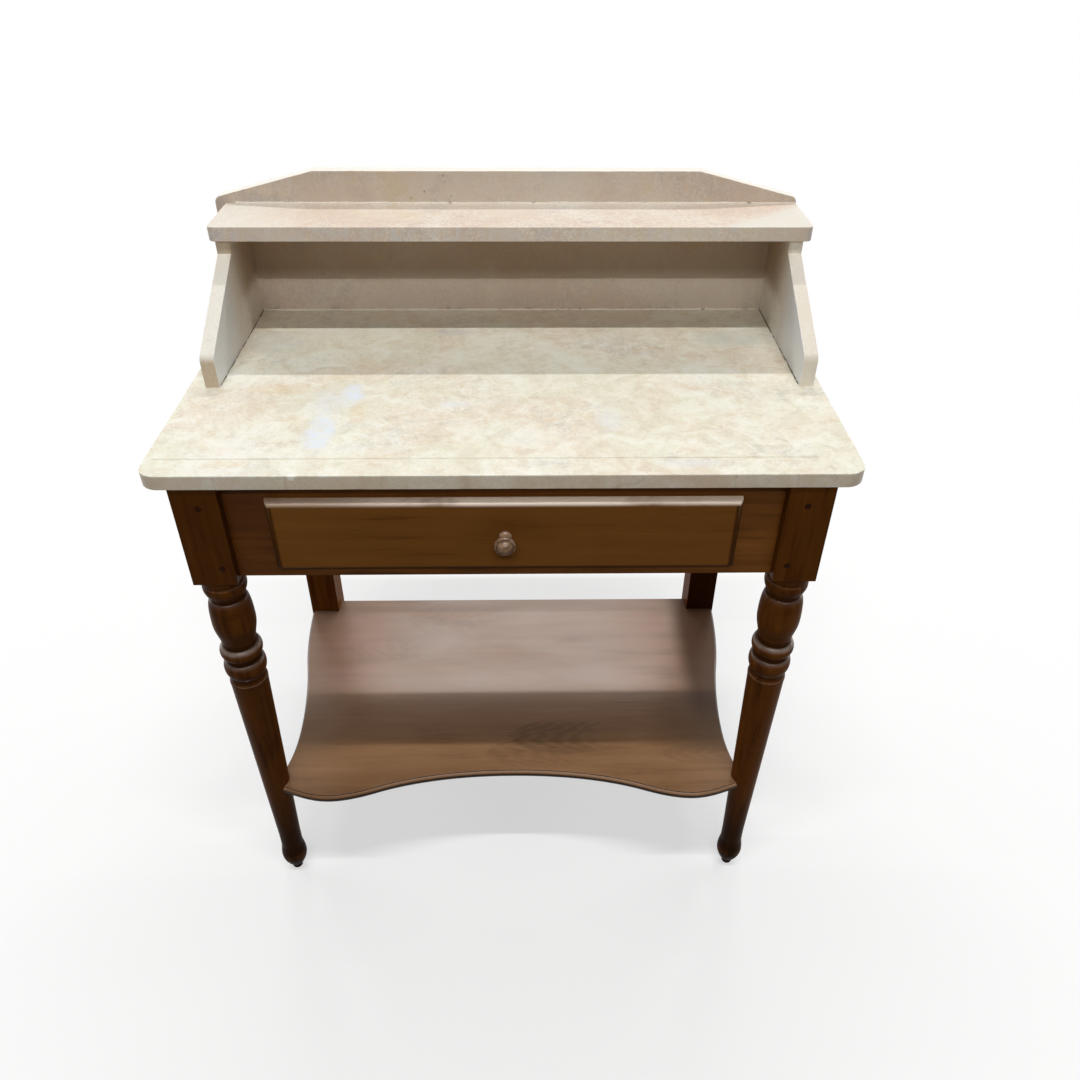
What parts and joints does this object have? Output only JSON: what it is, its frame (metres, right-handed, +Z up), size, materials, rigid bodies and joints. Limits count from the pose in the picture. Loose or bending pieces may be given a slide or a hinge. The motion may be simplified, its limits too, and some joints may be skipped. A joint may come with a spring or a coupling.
{
  "type": "washstand",
  "caption": "Old wooden washstand with a marble top, a marble gallery with an upper shelf, a sliding drawer, turned front legs and a lower shelf.",
  "frame": {"origin": "on the floor, under the middle of the whole width and depth, the knob included", "axes": "+Z up, -Y towards the person in front of the drawer, +X to the right as seen from the front"},
  "size_m": [0.85, 0.527, 1.007],
  "materials": {
    "marble": "honed cream marble with beige and grey clouds",
    "walnut": "dark stained walnut, worn satin polish",
    "drawer_wood": "brown walnut, satin polish",
    "shelf_wood": "brown walnut, faded satin polish",
    "knob_wood": "turned wood, worn satin",
    "peg_wood": "dark oak end grain",
    "raw_wood": "unpolished poplar, aged",
    "iron": "dull iron"
  },
  "bodies": {
    "table": {"marble_slab": "marble", "back_panel": "marble", "cheek_left": "marble", "cheek_right": "marble", "upper_shelf": "marble", "marble_pins": "iron", "leg_front_left": "walnut", "leg_front_right": "walnut", "leg_rear_left": "walnut", "leg_rear_right": "walnut", "front_rail_top": "walnut", "front_rail_bottom": "walnut", "front_stile_left": "walnut", "front_stile_right": "walnut", "side_apron_left": "walnut", "side_apron_right": "walnut", "rear_apron": "walnut", "apron_pegs": "peg_wood", "runner_left": "raw_wood", "runner_right": "raw_wood", "guide_left": "raw_wood", "guide_right": "raw_wood", "kicker_left": "raw_wood", "kicker_right": "raw_wood", "lower_shelf": "shelf_wood", "shelf_dowels": "raw_wood"},
    "drawer": {"drawer_front": "drawer_wood", "drawer_side_left": "raw_wood", "drawer_side_right": "raw_wood", "drawer_back": "raw_wood", "drawer_bottom": "raw_wood", "drawer_nails": "iron", "drawer_knob": "knob_wood"}
  },
  "joints": [
    {"name": "drawer_slide", "type": "slide", "parent": "table", "child": "drawer", "axis": [0, -1, 0], "range_m": [0, 0.3]}
  ]
}
